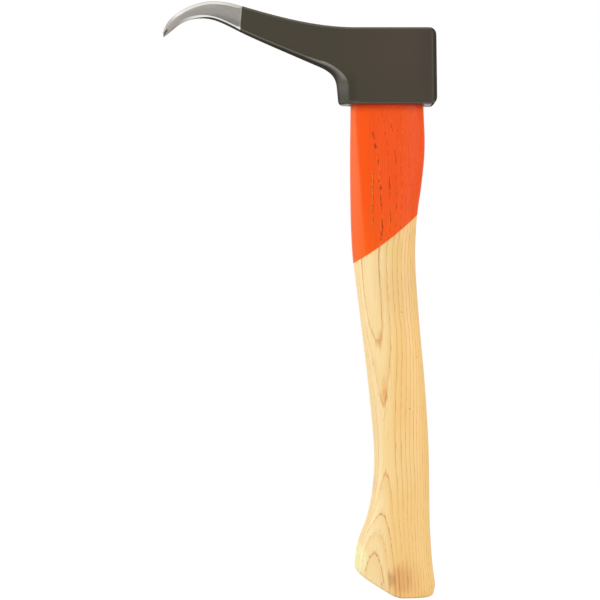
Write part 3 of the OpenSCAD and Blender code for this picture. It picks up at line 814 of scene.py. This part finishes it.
def make_ground_steel():
    tree, given = new_group(
        "ground steel",
        [("Place", VECTOR, None), ("Facing", VECTOR, None)],
        [("Color", COLOUR), ("Streaks", FLOAT), ("Scale", FLOAT)])
    xyz = split(tree, given["Place"])
    normal = split(tree, given["Facing"])
    above, streaks = grinding(tree, xyz)
    below = ramp(tree, normal["Z"], *LOWER_BEVEL)
    bevels, scale = bevel_steel(tree, xyz["X"], xyz["Y"], below)
    sideways = calc(tree, "ABSOLUTE", normal["Y"])
    cheek = cheek_steel(tree, xyz["X"], above, streaks)
    steel = blend(tree, ramp(tree, sideways, CHEEK_FROM, CHEEK_TO), bevels, cheek)
    # painted shade on a small facet behind the point
    steel = blend(tree, shaded_facet(tree, xyz), steel, colour("5f5a53"))
    scale = product(tree, scale, ramp(tree, sideways, CHEEK_TO, CHEEK_FROM))
    give_out(tree, Color=steel, Streaks=streaks, Scale=scale)
    return tree


ground_steel = make_ground_steel()

# %% [markdown]
# The rest of the head has a dark powder coat. It is browner in the middle of the block and more
# olive towards the pick, as such coats turn when they are baked over a thick and a thin part.
# The corner beside the crook is darkest, and the block is darker towards the poll: both are
# painted shade.

# %% Dark coat
BROWN_MIDDLE = (15.0, 0.0, 38.0)
BROWN_TO_OLIVE = (6.0, 54.0)
COAT_MOTTLE_MM = 30.0
# Painted shade: the corner beside the crook, and towards the poll, stronger higher up
CORNER_X = (-18, -23)
CORNER_Z = (22, 12)
POLL_X = (14, 27)
POLL_Z = (2, 22)
# By their normals: the top edge with its painted highlight, and the poll's end and the underside
# with their painted shade
TOP_EDGE = (0.15, 0.5)
POLL_END = (0.05, 0.5)
UNDERSIDE = (-0.3, -0.6)
# Heights of the underside's rounding, in painted shade, and of the lower lip's painted highlight
UNDER_Z = (2.4, 1.2)
LIP_Z = (2.6, 1.6)


def coat_colour(tree, place, xyz, mottle):
    from_middle = add(tree, "ShaderNodeVectorMath", {0: place, 1: BROWN_MIDDLE},
                      operation="DISTANCE").outputs["Value"]
    moved = calc(tree, "ADD", from_middle, centred(tree, mottle, COAT_MOTTLE_MM))
    coat = blend(tree, ramp(tree, moved, *BROWN_TO_OLIVE), colour("4b4138"), colour("453f33"))
    # painted shade in the corner beside the crook
    corner_shade = product(tree, ramp(tree, xyz["X"], *CORNER_X), ramp(tree, xyz["Z"], *CORNER_Z))
    coat = blend(tree, corner_shade, coat, colour("3d392c"))
    # painted shade towards the poll
    poll_shade = product(tree, ramp(tree, xyz["X"], *POLL_X, 0.0, 0.7),
                   ramp(tree, xyz["Z"], *POLL_Z, 0.3, 1.0))
    return blend(tree, poll_shade, coat, colour("423a32"))


def edge_light_and_shade(tree, coat, xyz, normal, sideways, below):
    """Painted highlights along the top edge and the lower lip, painted shade on the poll and the
    underside.
    """
    top_highlight = product(tree, ramp(tree, normal["Z"], *TOP_EDGE), ramp(tree, sideways, 0.2, 0.5), 0.9)
    coat = blend(tree, top_highlight, coat, colour("6c665a"))
    # painted shade on the poll's end
    coat = blend(tree, ramp(tree, normal["X"], *POLL_END), coat, colour("3f3a31"))
    under_shade = calc(tree, "MAXIMUM", ramp(tree, normal["Z"], *UNDERSIDE),
                 product(tree, below, ramp(tree, xyz["Z"], *UNDER_Z)))
    coat = blend(tree, under_shade, coat, colour("3d3a34"))
    lip_highlight = product(tree, below, ramp(tree, xyz["Z"], *LIP_Z), ramp(tree, sideways, 0.1, 0.35),
                  ramp(tree, sideways, 0.97, 0.88), 0.85)
    return blend(tree, lip_highlight, coat, colour("6a625a"))


print("coat is brownest at", BROWN_MIDDLE, "mm")

# %% [markdown]
# Painted highlights make the coat lighter and greyer along some of its edges, where they would
# catch the light. On this head they lie in two places: the lower edge of the pick's root, as a
# light line that is strongest halfway round the edge, and the rounded front of the block, all over
# but for a strip beside the cheek's plane.

# %% Painted highlights on the edges
HALF_BLOCK = 15.0
# How strong the painted highlight on the lower edge is, against how far it is turned towards the
# side
HIGHLIGHT_ROWS = [(0.35, 0.0), (0.45, 0.1), (0.57, 0.3), (0.7, 0.7), (0.8, 1.0), (0.87, 0.6),
            (0.91, 0.0), (1.0, 0.0)]
# The root's painted highlight fades in over these heights, and is lightest after this stretch
ROOT_Z = (10, 20)
CROOK_X = (-54, -43)
# The front's painted highlight: which way it faces, its height up the block, and its start inside
# the cheek
FRONT_FACING = (-0.25, -0.5)
FRONT_TOP_Z = (20, 9)
FRONT_LOW_Z = (1.2, 2.6)
FRONT_STRIP = (0.0, 1.6)


def root_highlight(tree, coat, xyz, sideways, below):
    highlight = product(tree, curve(tree, sideways, HIGHLIGHT_ROWS, (0.0, 1.0)), below,
                  ramp(tree, xyz["Z"], *ROOT_Z))
    highlight_grey = blend(tree, ramp(tree, xyz["X"], *CROOK_X), colour("6e6860"), colour("8f8982"))
    return blend(tree, highlight, coat, highlight_grey)


def front_highlight(tree, coat, xyz, normal, sideways):
    from_cheek = calc(tree, "SUBTRACT", HALF_BLOCK, calc(tree, "ABSOLUTE", xyz["Y"]))
    highlight = product(tree, ramp(tree, normal["X"], *FRONT_FACING), ramp(tree, xyz["Z"], *FRONT_TOP_Z),
                  ramp(tree, xyz["Z"], *FRONT_LOW_Z), ramp(tree, from_cheek, *FRONT_STRIP),
                  ramp(tree, sideways, 0.15, 0.6, 0.25, 1.0))
    highlight_grey = blend(tree, ramp(tree, xyz["Z"], 4, 16), colour("575550"), colour("6e6b64"))
    return blend(tree, highlight, coat, highlight_grey)


print("rub follows", len(HIGHLIGHT_ROWS), "rows")

# %% [markdown]
# The gloss of the coat isn't the same all over: the flat cheeks are smooth, and so is the seat
# under the block, but the rounded edges are dull from handling. The group gives the gloss as a
# value of its own, for the coat weight.

# %% Powder coat
# By their normals: the lower edge, the seat and a flat cheek
LOWER_EDGE = (-0.1, -0.3)
SEAT_FACING = (-0.96, -0.995)
FLAT_CHEEK = (0.9, 0.99)
SEAT_Z = (1.5, 0.5)
# Gloss of the rounded edges and of the flat cheeks
GLOSS = (0.02, 0.3)


def make_powder_coat():
    tree, given = new_group(
        "powder coat",
        [("Place", VECTOR, None), ("Facing", VECTOR, None), ("Mottle", FLOAT, 0.5)],
        [("Color", COLOUR), ("Gloss", FLOAT)])
    xyz = split(tree, given["Place"])
    normal = split(tree, given["Facing"])
    sideways = calc(tree, "ABSOLUTE", normal["Y"])
    below = ramp(tree, normal["Z"], *LOWER_EDGE)
    coat = coat_colour(tree, given["Place"], xyz, given["Mottle"])
    coat = edge_light_and_shade(tree, coat, xyz, normal, sideways, below)
    coat = root_highlight(tree, coat, xyz, sideways, below)
    coat = front_highlight(tree, coat, xyz, normal, sideways)
    seat = product(tree, ramp(tree, normal["Z"], *SEAT_FACING), ramp(tree, xyz["Z"], *SEAT_Z))
    gloss = ramp(tree, sideways, *FLAT_CHEEK, *GLOSS)
    give_out(tree, Color=coat, Gloss=calc(tree, "MAXIMUM", gloss, seat))
    return tree


powder_coat = make_powder_coat()

# %% [markdown]
# The head is one forging, so one material holds both finishes and changes from coat to bare
# steel at the paint line. Two pieces would need a seam in the steel that the real head doesn't
# have. The line leans a little and is slightly ragged, with a thin brighter rim where masking
# tape kept the steel clean.

# %% Painted and ground steel
PAINT_X = -92.8
PAINT_SLANT = 0.08
PAINT_MID_Z = 55.0
PAINT_RAGGED = 0.5
PAINT_SOFT = 0.15
# Where the clean rim starts and is full, out from the paint line, and its share
RIM_OUT = (-1.1, -0.4)
RIM_SHARE = 0.14
# Roughness of bare steel and of the coat
ROUGHNESS = (0.36, 0.55)


def make_head_finish():
    material, tree, shader = new_material("painted_and_ground_steel")
    place = place_in_mm(tree)
    xyz = split(tree, place)
    facing = add(tree, "ShaderNodeTexCoord").outputs["Normal"]
    ragged = centred(tree, noise(tree, place, 0.5, 3.0), PAINT_RAGGED)
    slant = product(tree, calc(tree, "SUBTRACT", xyz["Z"], PAINT_MID_Z), PAINT_SLANT)
    along = calc(tree, "ADD", calc(tree, "SUBTRACT", xyz["X"], slant), ragged)
    coated = ramp(tree, along, PAINT_X - PAINT_SOFT, PAINT_X + PAINT_SOFT)

    skin = use_group(tree, peel, Place=place, Size=0.5)
    steel = use_group(tree, ground_steel, Place=place, Facing=facing)
    coat = use_group(tree, powder_coat, Place=place, Facing=facing, Mottle=skin["Mottle"])
    rim = product(tree, ramp(tree, along, PAINT_X + RIM_OUT[0], PAINT_X + RIM_OUT[1]),
                  ramp(tree, steel["Scale"], 0.0, 0.4, RIM_SHARE, 0.0))
    metal = blend(tree, rim, steel["Color"], colour("d8d5cf"))
    dull = calc(tree, "MAXIMUM", coated, steel["Scale"])
    height = add(tree, "ShaderNodeMix", {0: coated, 2: steel["Streaks"], 3: skin["Height"]},
                 data_type="FLOAT").outputs[0]
    bump = add(tree, "ShaderNodeBump", {"Height": height, "Strength": 0.15, "Distance": 0.00005})
    varying = {"Base Color": blend(tree, coated, metal, coat["Color"]),
               "Metallic": calc(tree, "SUBTRACT", 1.0, dull),
               "Roughness": ramp(tree, dull, 0, 1, *ROUGHNESS, kind="LINEAR"),
               "Coat Weight": product(tree, coat["Gloss"], coated),
               "Normal": bump.outputs[0]}
    return finish_shader(material, tree, shader, varying,
                         {"Coat Roughness": 0.33, "Specular IOR Level": 0.0})


head_finish = make_head_finish()

# %% [markdown]
# Two wedges lock the handle in the eye, and show only from above: a hardwood one across the
# tenon, darker than the ash and with its grain along its length, and a ring of plain mild steel
# driven across both. They are small, so a stretched noise is enough for each.

# %% Wedge finishes
def make_wedge_wood():
    material, tree, shader = new_material("wedge_wood")
    grain = noise(tree, scaled(tree, place_in_mm(tree), 0.25, 2.2, 0.25), 1.0, 3.0)
    wood = blend(tree, ramp(tree, grain, 0.35, 0.65), colour("b98a58"), colour("9a6c3e"))
    return finish_shader(material, tree, shader, {"Base Color": wood}, {"Roughness": 0.6})


def make_wedge_steel():
    material, tree, shader = new_material("wedge_steel")
    cloud = noise(tree, place_in_mm(tree), 1.2, 4.0)
    steel = blend(tree, cloud, colour("8d8a85"), colour("b5b2ac"))
    worn = ramp(tree, cloud, 0.3, 0.7, 0.3, 0.5)
    return finish_shader(material, tree, shader, {"Base Color": steel, "Roughness": worn},
                         {"Metallic": 1.0})


wedge_wood = make_wedge_wood()
wedge_steel = make_wedge_steel()

# %% [markdown]
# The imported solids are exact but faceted, and each face is a loose triangle. A smooth skin could
# be modelled anew, but then it might leave the solid's place. So it starts from a copy of the
# solid's own surface: the copy is merged at its doubled corners, and pairs of triangles are
# joined back into four-sided faces, which take light and subdivision better.

# %% Merged copy of a solid
MERGE = 1e-6
FLAT_ENOUGH = math.radians(25)
SQUARE_ENOUGH = math.radians(60)


def merged_copy(node):
    bm = bmesh.new()
    bm.from_mesh(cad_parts[node].data)
    bmesh.ops.remove_doubles(bm, verts=bm.verts, dist=MERGE)
    bmesh.ops.join_triangles(bm, faces=bm.faces, angle_face_threshold=FLAT_ENOUGH,
                             angle_shape_threshold=SQUARE_ENOUGH)
    return bm


print("corners closer than", MERGE, "m are merged")

# %% [markdown]
# Real edges have to stay: the arris of a bevel, the rim of the dip, the cut across the knob. An
# edge that turns by more than a given angle is marked sharp, for the shading, and creased, for a
# subdivision. The wood and the paint get one level of subdivision, because their sections are
# round. The head gets none, since its solid is already fine and its planes should stay planes.
# Weighted normals then keep the flat cheeks flat in the light right up to their rounded edges.

# %% Smooth skins
def mark_hard_edges(bm, hard_angle):
    crease = bm.edges.layers.float.new("crease_edge")
    hard = [e for e in bm.edges if e.calc_face_angle(0) > math.radians(hard_angle)]
    for edge in hard:
        edge[crease] = 1.0
        edge.smooth = False
    for face in bm.faces:
        face.smooth = True
        face.material_index = 0
    return len(hard)


def smooth_skin(node, name, material, hard_angle, levels):
    """Smooth piece with the surface of a CAD node, which it stands in for."""
    bm = merged_copy(node)
    hard = mark_hard_edges(bm, hard_angle)
    mesh = bpy.data.meshes.new(name)
    bm.to_mesh(mesh)
    bm.free()
    mesh.materials.append(material)
    piece = bpy.data.objects.new(name, mesh)
    scene.collection.objects.link(piece)
    if levels:
        rounding = piece.modifiers.new("subdivision", "SUBSURF")
        rounding.levels = levels
        rounding.render_levels = levels
    shading = piece.modifiers.new("even_shading", "WEIGHTED_NORMAL")
    shading.keep_sharp = True
    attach(piece, "root")
    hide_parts(node)
    print(name, "faces:", len(mesh.polygons), "hard edges:", hard)


smooth_skin("head", "forged_head", head_finish, hard_angle=20, levels=0)
smooth_skin("handle", "ash_handle", lacquered_ash, hard_angle=30, levels=1)
smooth_skin("handle_coat", "dipped_neck", orange_dip, hard_angle=40, levels=1)

# %% [markdown]
# The wedges are small, flat and sharp edged, so their solids are right as they are. They stay in
# the scene and only change their material.

# %% Wedges keep their solids
for node, material in (("wood_wedge", wedge_wood), ("ring_wedge", wedge_steel)):
    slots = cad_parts[node].data.materials
    slots.clear()
    slots.append(material)
    print(node, "is finished with", material.name)

# %% [markdown]
# The tool was photographed on white. The stage is a pale floor under white air, and neither is
# made white by shining more light on it. Light Path tells what kind of ray arrives: the camera,
# a mirror or glass sees plain white, while the light that reaches the tool stays at a plain
# level.

# %% White air
WORLD_LIGHT = 0.5
WHITE = (1.0, 1.0, 1.0, 1.0)


def looking_rays(tree):
    """1 for a ray from the camera, a mirror or glass, and 0 for one that carries light."""
    rays = add(tree, "ShaderNodeLightPath").outputs
    return calc(tree, "MAXIMUM", rays["Is Camera Ray"],
                calc(tree, "MAXIMUM", rays["Is Glossy Ray"], rays["Is Transmission Ray"]))


def make_world():
    world = bpy.data.worlds.new("white_air")
    world.use_nodes = True
    tree = world.node_tree
    tree.nodes.clear()
    strength = ramp(tree, looking_rays(tree), 0, 1, WORLD_LIGHT, 1.0)
    air = add(tree, "ShaderNodeBackground", {"Color": WHITE, "Strength": strength})
    output = tree.nodes.new("ShaderNodeOutputWorld")
    tree.links.new(air.outputs[0], output.inputs[0])
    scene.world = world


make_world()
print("air lights the tool at", WORLD_LIGHT)

# %% [markdown]
# The floor is one large disc at the height of the knob's end. It mixes a plain matt surface with
# a white glow that only looking rays meet: the glow hides the floor's far edge, and the matt
# part keeps a soft shadow under the tool.

# %% Floor
FLOOR_RADIUS = 6.0
FLOOR_SIDES = 64
FLOOR_GREY = (0.62, 0.62, 0.62, 1.0)
FLOOR_GLOW = 1.3
GLOW_SHARE = 0.7


def make_floor_finish():
    material, tree, shader = new_material("floor_white")
    glow = add(tree, "ShaderNodeEmission", {"Color": WHITE, "Strength": FLOOR_GLOW})
    share = product(tree, looking_rays(tree), GLOW_SHARE)
    both = add(tree, "ShaderNodeMixShader", {0: share, 1: shader.outputs[0], 2: glow.outputs[0]})
    output = next(n for n in tree.nodes if n.type == "OUTPUT_MATERIAL")
    tree.links.new(both.outputs[0], output.inputs[0])
    return finish_shader(material, tree, shader, {},
                         {"Base Color": FLOOR_GREY, "Roughness": 1.0, "Specular IOR Level": 0.0})


def make_floor():
    bm = bmesh.new()
    bmesh.ops.create_circle(bm, cap_ends=True, segments=FLOOR_SIDES, radius=FLOOR_RADIUS)
    bmesh.ops.translate(bm, verts=bm.verts, vec=(0, 0, cad_low.z))
    mesh = bpy.data.meshes.new("floor")
    bm.to_mesh(mesh)
    bm.free()
    mesh.materials.append(make_floor_finish())
    floor = bpy.data.objects.new("floor", mesh)
    scene.collection.objects.link(floor)


make_floor()
print("floor at", round(cad_low.z, 4), "m")

# %% [markdown]
# Two soft lamps model the shape: a large one from the front right, and one from the left that
# gives the rounded edges there their light band. They are wide for their power, because a small
# strong lamp would leave burnt spots on the bare steel.

# %% Soft lamps
def softbox(name, place, aim, width, height, power):
    data = bpy.data.lights.new(name, "AREA")
    data.shape = "RECTANGLE"
    data.size = width
    data.size_y = height
    data.energy = power
    lamp = bpy.data.objects.new(name, data)
    lamp.location = place
    lamp.rotation_euler = (Vector(aim) - Vector(place)).to_track_quat("-Z", "Y").to_euler()
    scene.collection.objects.link(lamp)
    print(name, width, "by", height, "m,", power, "W")


softbox("front_softbox", place=(1.25, -1.5, -0.05), aim=(-0.02, 0, -0.12),
        width=1.3, height=1.5, power=28)
softbox("left_softbox", place=(-1.3, -0.3, -0.05), aim=(0, 0, -0.12),
        width=0.8, height=1.5, power=15)

# %% [markdown]
# Dressing the tool must not change its size. The box round the imported model is printed here.

# %% Sizes
print("packed box:", [round(v, 4) for v in cad_high - cad_low])
